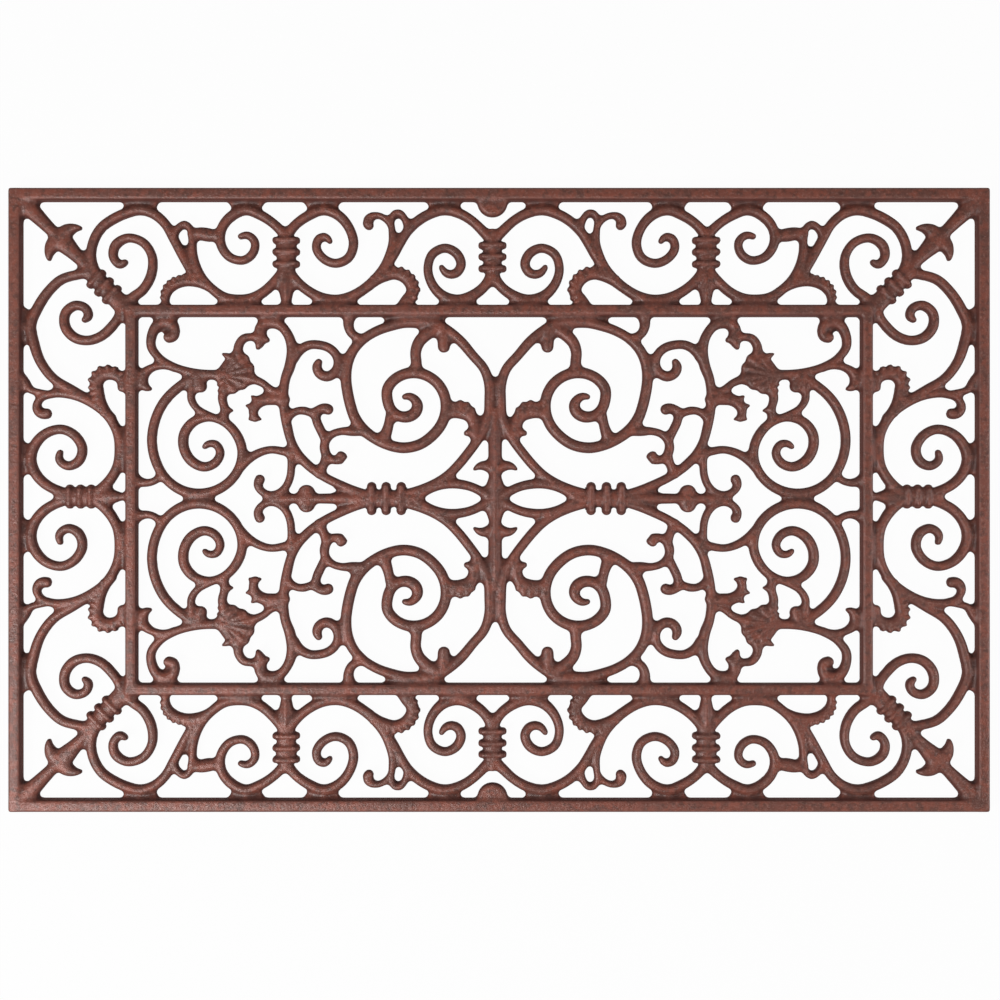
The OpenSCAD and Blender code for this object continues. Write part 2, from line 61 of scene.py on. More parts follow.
# Outer frame: four rails of one square section, with their top edges eased so that they draw from the sand.
# A half-round lug swells from the middle of each long rail. The frame is cast in one with the rest.
MM = 0.001
rail_low, rail_high = (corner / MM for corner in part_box("outer_rail_back"))
half = (rail_high.x, rail_high.y)
board = rail_low.z
outer_bar = 10
outer_top = rail_high.z
rail_ease = 1.4
rail_lean = 1.2
longest_section = 100
near = 0.1
lug_r = 11.5
lug_drop = 1.2
lug_ease = 3
lug_stop = 2
border_meet = (-5, 2.5)

pattern = bmesh.new()


def lay(element, onto):
    """Puts a finished element on the pattern board."""
    bmesh.ops.recalc_face_normals(element, faces=element.faces)
    scratch = bpy.data.meshes.new("element")
    element.to_mesh(scratch)
    element.free()
    onto.from_mesh(scratch)
    bpy.data.meshes.remove(scratch)


def lay_rail(middle, size, top):
    """A straight rail, eased along its two top edges, with a lean on the side that faces the middle."""
    rail = bmesh.new()
    bmesh.ops.create_cube(rail, size=1)
    bmesh.ops.scale(rail, vec=(size[0], size[1], top - board), verts=rail.verts)
    bmesh.ops.translate(rail, vec=(middle[0], middle[1], (top + board) / 2), verts=rail.verts)
    across = 1 if size[0] > size[1] else 0
    for v in rail.verts:
        if v.co.z > top - near and abs(v.co[across]) < abs(middle[across]):
            v.co[across] += math.copysign(rail_lean, middle[across])
    ridge = [e for e in rail.edges
             if min(v.co.z for v in e.verts) > top - near and e.calc_length() > longest_section]
    bmesh.ops.bevel(rail, geom=ridge, offset=rail_ease, affect="EDGES", segments=3, profile=0.5,
                    material=-1)
    lay(rail, pattern)


def lay_frame(outside, width, top):
    """Four rails round the middle of the mat, which run into one another at the corners."""
    for way in (-1, 1):
        lay_rail((0, way * (outside[1] - width / 2)), (2 * outside[0], width), top)
        lay_rail((way * (outside[0] - width / 2), 0), (width, 2 * outside[1]), top)


lay_frame(half, outer_bar, outer_top)
for way in (-1, 1):
    lug = bmesh.new()
    lug_top = outer_top - lug_drop
    bmesh.ops.create_cone(lug, cap_ends=True, segments=48, radius1=lug_r, radius2=lug_r,
                          depth=lug_top - board)
    bmesh.ops.translate(lug, verts=lug.verts,
                        vec=(border_meet[0], way * (half[1] - outer_bar), (lug_top + board) / 2))
    rim = [e for e in lug.edges if min(v.co.z for v in e.verts) > lug_top - near]
    bmesh.ops.bevel(lug, geom=rim, offset=lug_ease, affect="EDGES", segments=4, profile=0.5, material=-1)
    cut = bmesh.ops.bisect_plane(lug, geom=[*lug.verts, *lug.edges, *lug.faces], clear_outer=True,
                                 plane_co=(0, way * (half[1] - lug_stop), 0), plane_no=(0, way, 0))
    bmesh.ops.holes_fill(lug, edges=[e for e in cut["geom_cut"] if isinstance(e, bmesh.types.BMEdge)])
    lay(lug, pattern)

# Inner frame: the same rails again, a little narrower and lower, around the panel.
# It carries the border's scrolls outside and the panel's inside.
inner_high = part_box("inner_rail_back")[1] / MM
inner = (inner_high.x, inner_high.y)
inner_bar = 9.2
lay_frame(inner, inner_bar, inner_high.z)

# Corner scrolls: a barbed spear on the diagonal, a collar with three rings, and two arcs and two spirals.
# Each is carved as bars with a rounded back, which run into one another and into both frames. A bar is
# drawn through points [x, y, width] of one quarter, in mm. Fine relief is laid on the bars at the end.
scroll_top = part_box("side_scroll_back_right")[1].z / MM
collar_top = scroll_top + 0.1
knob_top = scroll_top - 1
ring_top = scroll_top + 1
ring_inset = 1.2
pace = 2
back_rise = 0.46
most_rise = 3.6
thin_bar = 4
thin_drop = 0.8
draft = 0.3
back_angles = [math.radians(a) for a in range(0, 181, 20)]
end_angles = [math.radians(a) for a in (82, 62, 38, 16)]
spear_drop = 0.3
spear_shaft = [[360, 226, 16], [347, 213, 11], [333, 199, 8.5]]
spear_head = [[336, 202, 9], [327, 193, 14], [320, 186, 11], [313, 179, 9], [300, 166, 9]]
spear_barb = [[328, 199, 13], [324, 203, 10], [319.5, 204.5, 6.5], [315, 204.5, 3]]
corner_collar = [[282, 145, 14], [293.5, 156.5, 13], [307.5, 170.5, 11]]
corner_ribs = [13.5, 21.7, 30]
corner_rib = (6.4, 5.4)
collar_shift = 1.5
long_arc = [[303, 171, 7], [307, 183, 7], [305, 195, 7], [299, 205, 7], [290, 211.5, 7.4], [280, 216, 7.5],
    [270, 218.2, 7.6], [260, 215.5, 7.4], [251, 208, 7], [244, 196, 7], [237, 183, 7], [230, 170, 6]]
long_spiral = [[281, 147, 8], [276, 152, 7.5], [268, 158, 7], [261, 171, 7], [261, 184, 6.5],
    [268, 194, 6.5], [280, 197, 6.5], [289, 191, 7], [290, 182, 6.5], [285, 177, 6], [281, 179, 4]]
short_arc = [[304, 171, 7], [317, 169.5, 7], [329, 166, 7], [339, 157, 7], [347, 145, 7.5],
    [352.3, 132, 7.6], [350, 117, 7.5], [345, 103, 7], [335, 90, 7], [322, 82, 7], [306, 73, 6]]
short_spiral = [[284, 146, 8], [286, 138, 7], [292, 129.5, 7], [300, 122.5, 7], [310, 119.5, 7],
    [320, 122, 7.5], [326.5, 130, 7.5], [326, 141, 7], [318, 146.5, 7], [310.5, 143.5, 6.5],
    [309, 138, 6], [312, 135, 4]]
corner_pads = [[[261, 224.5, 10], [278, 224.5, 10]], [[358.5, 123, 10], [358.5, 140, 10]]]
pad_top = scroll_top - 2

relief = bmesh.new()


def place(point, quarter, meet):
    """Takes a point of the drawn quarter to one of the four, which meet a little off the middle."""
    found = []
    for v, way, off, reach in zip(point, quarter, meet, inner):
        off *= way
        found.append(way * (off + v * (reach - off) / reach if v < reach else v))
    return (*found, point[2])


def curve(points):
    """Stations of a smooth curve through points [x, y, width]: middle, width and heading."""
    p = np.array(points, float)
    chord = np.hypot(*np.diff(p[:, :2], axis=0).T)
    step = np.diff(p, axis=0) / chord[:, None]
    slope = np.repeat(step[:1], len(p), axis=0)
    if len(p) > 2:
        a, b = chord[:-1, None], chord[1:, None]
        slope[1:-1] = (step[:-1] * b + step[1:] * a) / (a + b)
        slope[0] = 2 * step[0] - slope[1]
        slope[-1] = 2 * step[-1] - slope[-2]
    stations = []
    for i, d in enumerate(chord):
        count = max(2, round(d / pace))
        for t in np.arange(count + (i == len(chord) - 1)) / count:
            at = ((2 * t**3 - 3 * t**2 + 1) * p[i] + (t**3 - 2 * t**2 + t) * d * slope[i]
                  + (3 * t**2 - 2 * t**3) * p[i + 1] + (t**3 - t**2) * d * slope[i + 1])
            way = ((6 * t**2 - 6 * t) * (p[i] - p[i + 1]) + (3 * t**2 - 4 * t + 1) * d * slope[i]
                   + (3 * t**2 - 2 * t) * d * slope[i + 1])[:2]
            stations.append((at[:2], at[2], way / np.hypot(*way)))
    return stations


def section(middle, width, heading, top):
    """One cross-section of a bar: flat under, straight sides and a rounded back."""
    left = np.array((-heading[1], heading[0]))
    rise = min(back_rise * width, most_rise)
    flat = [(*(middle + side * (width / 2 + draft) * left), board) for side in (-1, 1)]
    back = [(*(middle + math.cos(a) * width / 2 * left), top - rise + math.sin(a) * rise)
            for a in back_angles]
    return flat + back


def lay_bar(points, quarter, meet, top=None, onto=None, fall=0):
    """A bar along a smooth curve, with rounded ends. It may fall, and its thin tips lie lower."""
    top = top or scroll_top
    stations = curve([place(p, quarter, meet) for p in points])
    rings = []
    first, last = stations[0], stations[-1]
    for a in end_angles:
        rings.append((first[0] - first[2] * first[1] / 2 * math.sin(a), first[1] * math.cos(a), first[2]))
    rings += stations
    for a in reversed(end_angles):
        rings.append((last[0] + last[2] * last[1] / 2 * math.sin(a), last[1] * math.cos(a), last[2]))
    bar = bmesh.new()
    place_on_rim = bar.verts.layers.int.new("rim")
    end_face = None
    for i, (middle, width, heading) in enumerate(rings):
        drop = fall * i / len(rings) + max(0, thin_bar - width) * thin_drop
        ring = section(middle, width, heading, top - drop)
        if end_face is None:
            end_face = bar.faces.new([bar.verts.new(co) for co in ring])
            for k, v in enumerate(end_face.verts):
                v[place_on_rim] = k
        else:
            grown = bmesh.ops.extrude_face_region(bar, geom=[end_face])["geom"]
            end_face = next(g for g in grown if isinstance(g, bmesh.types.BMFace))
            for v in end_face.verts:
                v.co = ring[v[place_on_rim]]
    lay(bar, pattern if onto is None else onto)


def rib(middle, way, size):
    """A ring of a collar, seen as a short bar across it."""
    return [[middle[0] + s * way[0] * size[0], middle[1] + s * way[1] * size[0], size[1]] for s in (-1, 1)]


def lay_ring(middle, way, size, quarter, meet):
    """A ring of a collar: low knobs on both sides of it, and a ridge over its back."""
    lay_bar(rib(middle, way, size), quarter, meet, knob_top, relief)
    ridge = (size[0] - ring_inset, size[1] - ring_inset)
    lay_bar(rib(middle, way, ridge), quarter, meet, ring_top, relief)


def over_diagonal(p):
    """Mirrors a point over the line from the inner frame's corner to the outer one."""
    lead = half[0] - half[1]
    return [p[1] + lead, p[0] - lead, p[2]]


QUARTERS = {"back_left": (-1, 1), "back_right": (1, 1), "front_left": (-1, -1), "front_right": (1, -1)}
slant = math.sqrt(0.5)
spear_top = outer_top - spear_drop
for quarter in QUARTERS.values():
    for points in [spear_head, spear_barb, [over_diagonal(p) for p in spear_barb], long_arc, long_spiral,
                   short_arc, short_spiral]:
        lay_bar(points, quarter, border_meet)
    lay_bar(spear_shaft, quarter, border_meet, spear_top, fall=spear_top - scroll_top)
    lay_bar(corner_collar, quarter, border_meet, collar_top)
    for pad in corner_pads:
        lay_bar(pad, quarter, border_meet, pad_top)
    for u in corner_ribs:
        ring = (inner[0] + u * slant + collar_shift, inner[1] + u * slant - collar_shift)
        lay_ring(ring, (slant, -slant), corner_rib, quarter, border_meet)

# Long border's scrolls: a ringed collar with a dart to the inner frame, and on each side of it a spiral
# and a hanging arc. The arcs end in a loop with a bud or a free curl, and each throws a fluted leaf.
# Low pads tie the arcs and spirals to the rails.
border_rib = (8, 5.2)
long_collar = [[158, 199, 10], [158, 196, 13], [158, 176, 13], [158, 160, 12], [158, 152, 8.5],
    [158, 145, 6]]
long_ribs = [195.3, 186.6, 177.5]
dart_ridge = [[158, 173, 2.5], [158, 164, 4], [158, 150, 3]]
bud_spiral = [[159, 199, 8], [167, 207.3, 7], [178, 214.5, 7.4], [189, 218.2, 7.6], [200, 213.5, 7.5],
    [207.5, 204, 7], [208, 192, 7], [201, 182.5, 6.5], [190, 180.5, 6], [183, 186.5, 6], [182, 194, 6],
    [187, 199, 5.5], [193, 198, 4]]
bud_arc = [[159, 173, 9], [167, 164, 7.5], [176, 156, 7.5], [186, 151, 8.5], [195, 150, 9], [205, 152, 8],
    [214, 158, 7], [222, 166, 7], [227, 175, 7], [229.5, 186, 6], [230, 196, 5.5], [231.5, 204, 5],
    [235.5, 207.5, 5], [240, 205, 5], [244, 197, 5]]
bud = [[209, 198.5, 6], [218, 199.5, 10], [225, 200.5, 9], [230, 200, 7]]
bud_leaf = [[216, 159, 6], [228, 165, 9], [237, 164.5, 8], [244, 162, 8], [249, 157, 7], [250.5, 150, 5.5],
    [250.5, 145, 6]]
curl_spiral = [[157.5, 199, 8], [150.5, 207.4, 7], [140, 214.5, 7.4], [130, 218.2, 7.6],
    [118.5, 214.5, 7.5], [110, 205, 7], [106.5, 192, 7], [110, 182.5, 6.5], [120, 178, 6.5],
    [130, 182, 6.5], [135, 190, 6.5], [133, 196.5, 6], [128, 198, 5.5], [124.5, 194.5, 4]]
curl_arc = [[157, 173, 9], [149, 163.5, 7.5], [140, 156.5, 7.5], [130, 151.5, 8.5], [118, 150, 9],
    [107, 153.5, 8], [98, 159, 7.5], [90, 166, 7.5], [83, 175, 7], [79, 184, 6.5], [76.5, 194, 6],
    [77, 203, 5], [77.5, 210, 4.5], [75, 215.5, 4.5], [71, 216, 4.5], [67.5, 212, 5], [65, 205, 6]]
curl = [[77, 204, 4.5], [82, 211.5, 4.5], [88, 214, 4.5], [94, 212.5, 6], [96, 208.5, 7], [94.5, 206.5, 7]]
curl_leaf = [[95, 160, 6], [83, 168.5, 8.5], [75, 170.5, 9], [67, 168, 9.5], [62, 162, 9.5], [61, 156, 9],
    [65, 151, 9], [68.5, 145, 10]]
long_pads = [[[180, 224.5, 10], [197, 224.5, 10]], [[122, 224.5, 10], [139, 224.5, 10]],
    [[188, 146.5, 8], [202, 146.5, 8]], [[111, 146.5, 8], [125, 146.5, 8]]]
flute = 3.2
flute_inset = 0.4
flute_top = scroll_top + 0.6
fluted_part = slice(3, -2, 2)


def flutes(leaf, side):
    """Flutes across a leaf, whose ends stand a little proud of one side of it."""
    found = []
    for middle, width, heading in curve(leaf)[fluted_part]:
        out = side * np.array((-heading[1], heading[0]))
        found.append([[*middle, flute], [*(middle + out * (width / 2 - flute_inset)), flute]])
    return found


for quarter in QUARTERS.values():
    for points in [bud_spiral, bud_arc, bud, curl_spiral, curl_arc, curl, bud_leaf, curl_leaf]:
        lay_bar(points, quarter, border_meet)
    lay_bar(long_collar, quarter, border_meet, collar_top)
    for points in flutes(bud_leaf, 1) + flutes(curl_leaf, -1):
        lay_bar(points, quarter, border_meet, flute_top, relief)
    for pad in long_pads:
        lay_bar(pad, quarter, border_meet, pad_top)
    for y in long_ribs:
        lay_ring((long_collar[0][0], y), (1, 0), border_rib, quarter, border_meet)
    lay_bar(dart_ridge, quarter, border_meet, ring_top, relief)

# Middle scrolls of the long borders: a ringed collar under the lug, with an arc and a spiral on each side.
# They are carved like the others, and their arcs run into the curl's arc of the long border's scrolls.
middle_collar = [[0, 199, 10], [0, 191, 13], [0, 176, 13], [0, 167, 9]]
middle_ribs = [191.5, 183, 174]
middle_pads = [[[29, 224.5, 10], [45, 224.5, 10]], [[20, 146.5, 8], [34, 146.5, 8]]]
middle_arc = [[0, 195, 9], [8, 203, 7.5], [15, 209.5, 7], [25, 215.5, 7.4], [37, 218.2, 7.6],
    [48.5, 215, 7.5], [59, 208.5, 7.4], [66, 201, 7], [71, 193, 7], [76, 184, 7], [84, 172, 6]]
middle_spiral = [[0, 171, 9], [6, 161, 7.5], [14, 154.5, 8], [27, 150, 9], [38, 153.5, 8], [46, 162, 7],
    [49.5, 174, 6.5], [46, 185, 6.5], [36, 189.5, 6.5], [27, 185, 7], [24, 177, 7], [28, 170.5, 6.5],
    [34, 170, 6], [39, 175, 4]]
for quarter in QUARTERS.values():
    for points in [middle_arc, middle_spiral]:
        lay_bar(points, quarter, border_meet)
    lay_bar(middle_collar, quarter, border_meet, collar_top)
    for pad in middle_pads:
        lay_bar(pad, quarter, border_meet, pad_top)
    for y in middle_ribs:
        lay_ring((0, y), (1, 0), border_rib, quarter, border_meet)

# Scrolls of the short borders: a ringed collar, two spirals on the outer rail, and two arcs on the inner
# frame, which run out in a small curl, a twig to the rail and a fluted leaf.
end_collar = [[279, 0, 4], [283, 0, 5], [290, 0, 10], [298, 0, 13], [328, 0, 12]]
end_ribs = [307, 315, 323]
end_spiral = [[318, 1, 9], [332, 4.5, 7.5], [342, 10, 7.5], [349, 18, 7.5], [352.3, 29, 7.6],
    [348.5, 41, 7.5], [340, 49, 7], [329, 51.5, 7], [318.5, 46, 7], [313.5, 36, 7], [317, 26.5, 7],
    [325, 23.5, 6.5], [331, 28.5, 5.5], [330, 34, 4]]
end_arc = [[340.5, 63.5, 8], [345, 63.5, 7], [348, 68, 6], [345.5, 74.5, 5], [337, 78.5, 6], [322, 78, 6.5],
    [307, 72, 7], [294, 61.5, 7], [287, 49, 7.5], [284.5, 36, 9.5], [287.5, 22, 7.5], [296, 9, 8],
    [306, 1, 9]]
end_twig = [[332, 79, 4], [345, 80, 4], [353, 82, 5.5], [356, 87, 6], [359, 93, 4]]
end_leaf = [[291, 60, 6], [299, 70, 8], [302, 80, 9], [303, 88, 10], [298, 94, 10.5], [290, 94, 9.5],
    [284.5, 90, 8], [283.5, 83.5, 7]]
end_pads = [[[358.5, 21, 10], [358.5, 37, 10]], [[280.5, 28, 8], [280.5, 44, 8]]]
for quarter in QUARTERS.values():
    for points in [end_spiral, end_arc, end_twig, end_leaf]:
        lay_bar(points, quarter, border_meet)
    lay_bar(end_collar, quarter, border_meet, collar_top)
    for points in flutes(end_leaf, -1):
        lay_bar(points, quarter, border_meet, flute_top, relief)
    for pad in end_pads:
        lay_bar(pad, quarter, border_meet, pad_top)
    for x in end_ribs:
        lay_ring((x, 0), (0, 1), corner_rib, quarter, border_meet)

# Side scrolls of the panel: a hook on the inner frame, a twig, and a great spiral that is tied to the
# frame. They fill the panel's outer corners, are carved as bars like the border's, and run into the shells.
panel_meet = (-3, 1)
hook = [[248, 122, 8], [244.5, 123, 7], [243.5, 128, 7], [249, 134, 10.5], [256, 132, 8.5], [261, 124, 7],
    [261.5, 115, 6.5], [256, 107, 6], [245, 100, 6], [233, 96, 6.5], [219, 94, 7], [206, 94, 8]]
hook_twig = [[244, 99, 6], [255, 100.5, 5], [263, 98, 6], [268.5, 92, 9], [266.5, 85, 7], [262, 83, 2.5]]
side_spiral = [[226, 93, 7], [240, 85, 7], [252, 73, 7], [259, 58, 7], [261, 43, 7], [258, 28, 7],
    [250, 14.5, 7], [239, 6.5, 7.5], [226, 3.5, 8], [213, 6, 7.5], [201, 14, 7], [194, 25, 7],
    [192.5, 37, 7], [197, 49, 7], [206, 58, 6.5], [217, 61.5, 6], [229, 58.5, 7], [236.5, 49, 7.5],
    [236.5, 37.5, 7.5], [230.5, 28, 7.5], [221, 24, 7], [212.5, 27.5, 6.5], [209, 35, 6], [213, 41.5, 5.5],
    [218, 41.5, 5], [221, 39, 3.5]]
side_tie = [[253, 19, 5], [258, 14, 5], [264, 12, 5.5], [272, 13.5, 8]]
side_bell = [
    [[230, 91, 6], [231, 82, 5.5], [231, 75, 5.5], [227, 68.5, 5], [220, 64.5, 4.5], [211, 61, 4.5]],
    [[226, 91, 9], [224, 85, 9.5]]]
for quarter in QUARTERS.values():
    for points in [hook, hook_twig, side_spiral, side_tie, *side_bell]:
        lay_bar(points, quarter, panel_meet)

# Shells of the panel: lobes that fan out from one root, each with a fine ridge along its back, so that
# flutes run between them, and three stems that leave the fan. Sharp teeth stand out at its ends.
shell_root = [207, 93, 12]
shell_tips = [[198.5, 106, 9], [191.5, 105, 8.5], [188.5, 98.5, 9.5], [187, 91.5, 9.5], [193, 87.5, 9],
    [200, 84, 8.5], [205.5, 82, 6]]
shell_stems = [
    [[193, 105, 8], [195, 116, 6.5], [191, 121.5, 6], [185, 122.5, 5.5], [178, 122, 5]],
    [[187, 91, 7], [177, 87.5, 5.5], [170, 82.5, 5], [161.5, 80, 5]],
    [[205, 84, 7], [207.5, 76, 6.5], [206, 69, 6], [206, 60, 6]],
    [[205, 68, 5], [199.5, 66.5, 1.5]]]
shell_teeth = [[[197, 103, 10], [203, 107.5, 5.5], [207, 109.5, 1.6]], [[206, 89, 6], [210.5, 86, 2]],
    [[206, 85, 6], [210, 81.5, 2]]]
fan_top = scroll_top - 0.4
fan_spread = 1.15
ridge_root_width = 2
ridge_width = 3.2
ridge_top = scroll_top + 1
for quarter in QUARTERS.values():
    for points in shell_stems:
        lay_bar(points, quarter, panel_meet)
    for points in shell_teeth:
        lay_bar(points, quarter, panel_meet, onto=relief)
    for x, y, width in shell_tips:
        lay_bar([shell_root, [x, y, fan_spread * width]], quarter, panel_meet, fan_top)
        ridge = [[*shell_root[:2], ridge_root_width], [x, y, min(width, ridge_width)]]
        lay_bar(ridge, quarter, panel_meet, ridge_top, relief)

# Lyres of the panel: a long bar from the frame to the stem, with a top leaf, a hanging leaf, a small
# scroll, tendrils towards the oval, and a loop at its foot. The tendrils tie it to the oval.
lyre = [[179, 127, 7], [177, 132, 8], [170, 134.2, 10.5], [163, 131, 7.5], [157.5, 124, 7], [154.5, 114, 8],
    [156, 101, 8], [159.5, 91, 7], [161, 80, 7], [160.5, 68, 7], [158, 54, 7], [155, 43, 6.5],
    [150, 33.5, 7], [143, 26, 7], [131, 17, 6.5], [118, 10.5, 6.5], [104, 5, 6.5], [94, 2.5, 6]]
lyre_leaves = [
    [[179, 128, 8], [178.5, 121, 9], [180.5, 114, 3]],
    [[177, 121.5, 8], [173, 120, 3.5]],
    [[160, 75, 8], [169, 76, 10], [176, 75, 9], [182, 71, 8], [184, 65, 6.5], [182.5, 61, 6]],
    [[180, 74, 6], [185, 77.5, 2]],
    [[183, 70, 5], [189.5, 70.5, 1.5]],
    [[183, 61, 4], [187, 60, 2]],
    [[182, 61, 4], [178, 60, 1.5]]]
lyre_scroll = [[153, 107, 8], [148, 113, 7], [141, 116.5, 6.5], [134, 116.5, 6.5], [126, 114, 6.5],
    [121, 109, 6.5], [119.5, 102, 6.5], [122, 95.5, 7], [128, 92.5, 7.5], [134, 95, 7], [135.5, 100, 7],
    [134, 103.5, 5]]
tendrils = [
    [[157, 62, 6], [150, 66.5, 5.5], [144.5, 66.5, 6], [139.5, 65, 5.5], [134.5, 67.5, 6], [129, 68.5, 7.5],
        [127, 67.5, 8]],
    [[137, 66, 6], [135.5, 58, 6.5], [132.5, 51.5, 6.5], [129.5, 45, 6]],
    [[99, 51, 6], [109, 51, 7], [117, 51, 5.5], [124.5, 48.5, 5.5], [129.5, 42.5, 6.5], [129.5, 36, 7],
        [126, 30.5, 6], [120.5, 29, 6], [116, 31, 7.5], [117.5, 33, 6]],
    [[128.5, 35, 6], [130, 27, 6.5], [134, 18, 6]]]
lyre_feet = [
    [[151, 33, 6], [160, 35.5, 6], [171, 37, 5.5], [180, 34.5, 6], [188, 29.5, 6.5], [193, 24, 6]],
    [[155.5, 35, 6], [155, 24, 5.5], [156, 16, 5.5], [159.5, 8.5, 5.5], [165, 4, 5.5], [171, 2.5, 6],
        [177, 5, 5.5], [180.5, 10, 6], [179, 14.5, 7.5]]]
for quarter in QUARTERS.values():
    for points in [lyre, lyre_scroll, *lyre_leaves, *tendrils, *lyre_feet]:
        lay_bar(points, quarter, panel_meet)

# Ovals of the panel: an oval bar that turns inwards to a spiral, with ties to the frame and a toothed leaf.
# The four of them run into the cross in the middle, and their spirals are held by the ties.
oval = [[66, 4.5, 6], [54.5, 7.5, 7], [44.5, 12, 7], [35.5, 18, 7], [28, 25.5, 7], [21, 34, 7],
    [14, 43.5, 7], [8.5, 53, 7], [5, 63, 7.5], [4.3, 75, 7.5], [4.4, 86, 7.5], [8.2, 98, 7],
    [17, 108.5, 7], [26, 119, 7.5], [35.5, 127, 7.5], [45.5, 132.5, 8.5], [56, 134.3, 10.5], [68, 134, 9],
    [79, 131, 7.5], [90, 127, 7], [100, 121, 7], [108, 112.5, 7.5], [112.5, 102, 8], [113.5, 91, 8],
    [112, 79, 8], [108, 64, 8]]
oval_spiral = [[108, 64, 8], [102, 54, 8.5], [93, 46.5, 8], [82, 41, 8], [70, 38.5, 8], [57.5, 41, 8],
    [47.5, 48, 8], [40.5, 57, 8], [37.5, 67, 8], [38.5, 78, 8], [43.5, 87, 8], [51.5, 93, 8],
    [60.5, 95.5, 8.5], [70, 94, 8], [77.5, 89.5, 8], [82, 83, 8], [82, 75, 8], [79, 67, 8],
    [73, 62.5, 8], [66.5, 62, 8.5], [60.5, 65.5, 8.5], [59, 71, 8], [61.5, 75.5, 6.5], [65, 77.5, 5.5],
    [69, 77, 4]]
oval_ties = [
    [[103, 122, 6], [109, 125, 6.5], [111.5, 131, 7.5], [110.5, 138, 9]],
    [[80, 62, 7], [81.5, 54, 7.5], [85, 45, 10]],
    [[43, 129, 8], [52, 124.5, 9], [58, 118.5, 8.5], [60.5, 111, 8], [60, 103, 8], [60, 96, 9]],
    [[39.5, 126, 9], [39, 115, 9]]]
oval_leaf = [
    [[37, 64, 8], [31, 66, 10], [24, 66, 12], [18.5, 62.5, 10], [16, 57, 9], [15, 51, 9], [14, 44, 8]],
    [[31, 67, 8], [31.5, 71.5, 4]],
    [[26.5, 68, 7], [26.5, 73, 4]],
    [[21.5, 67, 7], [21, 71.5, 4]],
    [[18, 64, 7], [17, 67.5, 4]],
    [[17, 51, 7], [22, 49.5, 4]]]
for quarter in QUARTERS.values():
    for points in [oval, oval_spiral, *oval_ties, *oval_leaf]:
        lay_bar(points, quarter, panel_meet)

# Cross and stems: the barbed cross in the middle with its two eyes, and the ringed stems on both sides of
# it, each with a bead. A ridge runs along the cross. The ovals run into its arms, the lyres into the stems.
cross_arm = [[0, 0, 17], [0, 8, 15], [0, 16, 9.5], [0, 32, 10], [0, 54, 9], [0, 66, 5]]
cross_barb = [[3, 23, 8], [10, 25, 6.5], [16, 22, 2]]
cross_neck = [[0, 60, 6], [0, 86, 5]]
cross_neck_top = scroll_top - 1.2
eye = [[2, 0, 9], [9, 4.5, 7], [17, 8.5, 6.5], [27.5, 11, 7], [37.5, 11, 7], [47.5, 8.5, 7], [56, 4, 7],
    [62, 0, 7]]
stem = [[66, 0, 11], [80, 0, 13], [100, 0, 13], [112, 0, 9], [128, 0, 7.5], [168, 0, 8]]
cross_ridge = [[0, 0, 5], [0, 45, 4.5], [0, 62, 3]]
cross_ridge_top = scroll_top + 0.7
stem_ribs = [71.5, 83, 94]
stem_rib = (9, 7)
stem_bead = [[143.5, 0, 15], [143.5, 4, 13]]
for quarter in QUARTERS.values():
    for points in [cross_arm, cross_barb, eye, stem_bead]:
        lay_bar(points, quarter, panel_meet)
    lay_bar(stem, quarter, panel_meet, collar_top)
    lay_bar(cross_neck, quarter, panel_meet, cross_neck_top)
    lay_bar(cross_ridge, quarter, panel_meet, cross_ridge_top, relief)
    for x in stem_ribs:
        lay_ring((x, 0), (0, 1), stem_rib, quarter, panel_meet)

# Feet: six short tapered studs under the corners and the lugs, which keep the mat off the ground.
# They are cast in one with the rails.
foot_r = 5.5
foot_top_r = 6.5
foot_inset = 8
foot_sink = 2
feet = {f"corner_foot_{name}": (sx * (half[0] - foot_inset), sy * (half[1] - foot_inset))
        for name, (sx, sy) in QUARTERS.items()}
feet["middle_foot_back"] = (border_meet[0], half[1] - outer_bar)
feet["middle_foot_front"] = (border_meet[0], outer_bar - half[1])
for x, y in feet.values():
    foot = bmesh.new()
    bmesh.ops.create_cone(foot, cap_ends=True, segments=40, radius1=foot_r, radius2=foot_top_r,
                          depth=board + foot_sink)
    bmesh.ops.translate(foot, vec=(x, y, (board + foot_sink) / 2), verts=foot.verts)
    lay(foot, relief)

# Casting: the pattern's elements become one piece of iron, with a web in every sharp corner where sand
# would not hold, and then the fine relief is laid on. Each face of the casting is then given to the piece
# that it belongs to, along the joints of the pattern's elements.
grain = 0.9
web = 1.5
smooth_turns = 3
smooth_in, smooth_out = 0.5, -0.52
foot_line = board - 0.4
stray_sweeps = 3
joint_turns = 6
hollow_turns = 30


def poured(mesh, steps):
    """A mesh after a row of modifiers."""
    thing = bpy.data.objects.new("pour", mesh)
    bpy.context.scene.collection.objects.link(thing)
    for kind, values in steps:
        step = thing.modifiers.new(kind, kind)
        for name, value in values.items():
            setattr(step, name, value)
    view = bpy.context.evaluated_depsgraph_get()
    result = bpy.data.meshes.new_from_object(thing.evaluated_get(view))
    bpy.data.objects.remove(thing)
    bpy.data.meshes.remove(mesh)
    return result


def fused(size):
    """Joins all that overlaps into one skin, of square faces of a size."""
    return ("REMESH", {"mode": "VOXEL", "voxel_size": size * MM})


def swollen(by):
    """Moves the skin outwards."""
    return ("DISPLACE", {"strength": by * MM, "mid_level": 0})


def relaxed(factor):
    """Evens out the skin, or with a negative factor swells it back."""
    return ("SMOOTH", {"factor": factor, "iterations": 1})


def as_mesh(bm, name):
    """A drawing in millimetres as a mesh in metres."""
    bmesh.ops.scale(bm, vec=(MM, MM, MM), verts=bm.verts)
    mesh = bpy.data.meshes.new(name)
    bm.to_mesh(mesh)
    bm.free()
    return mesh


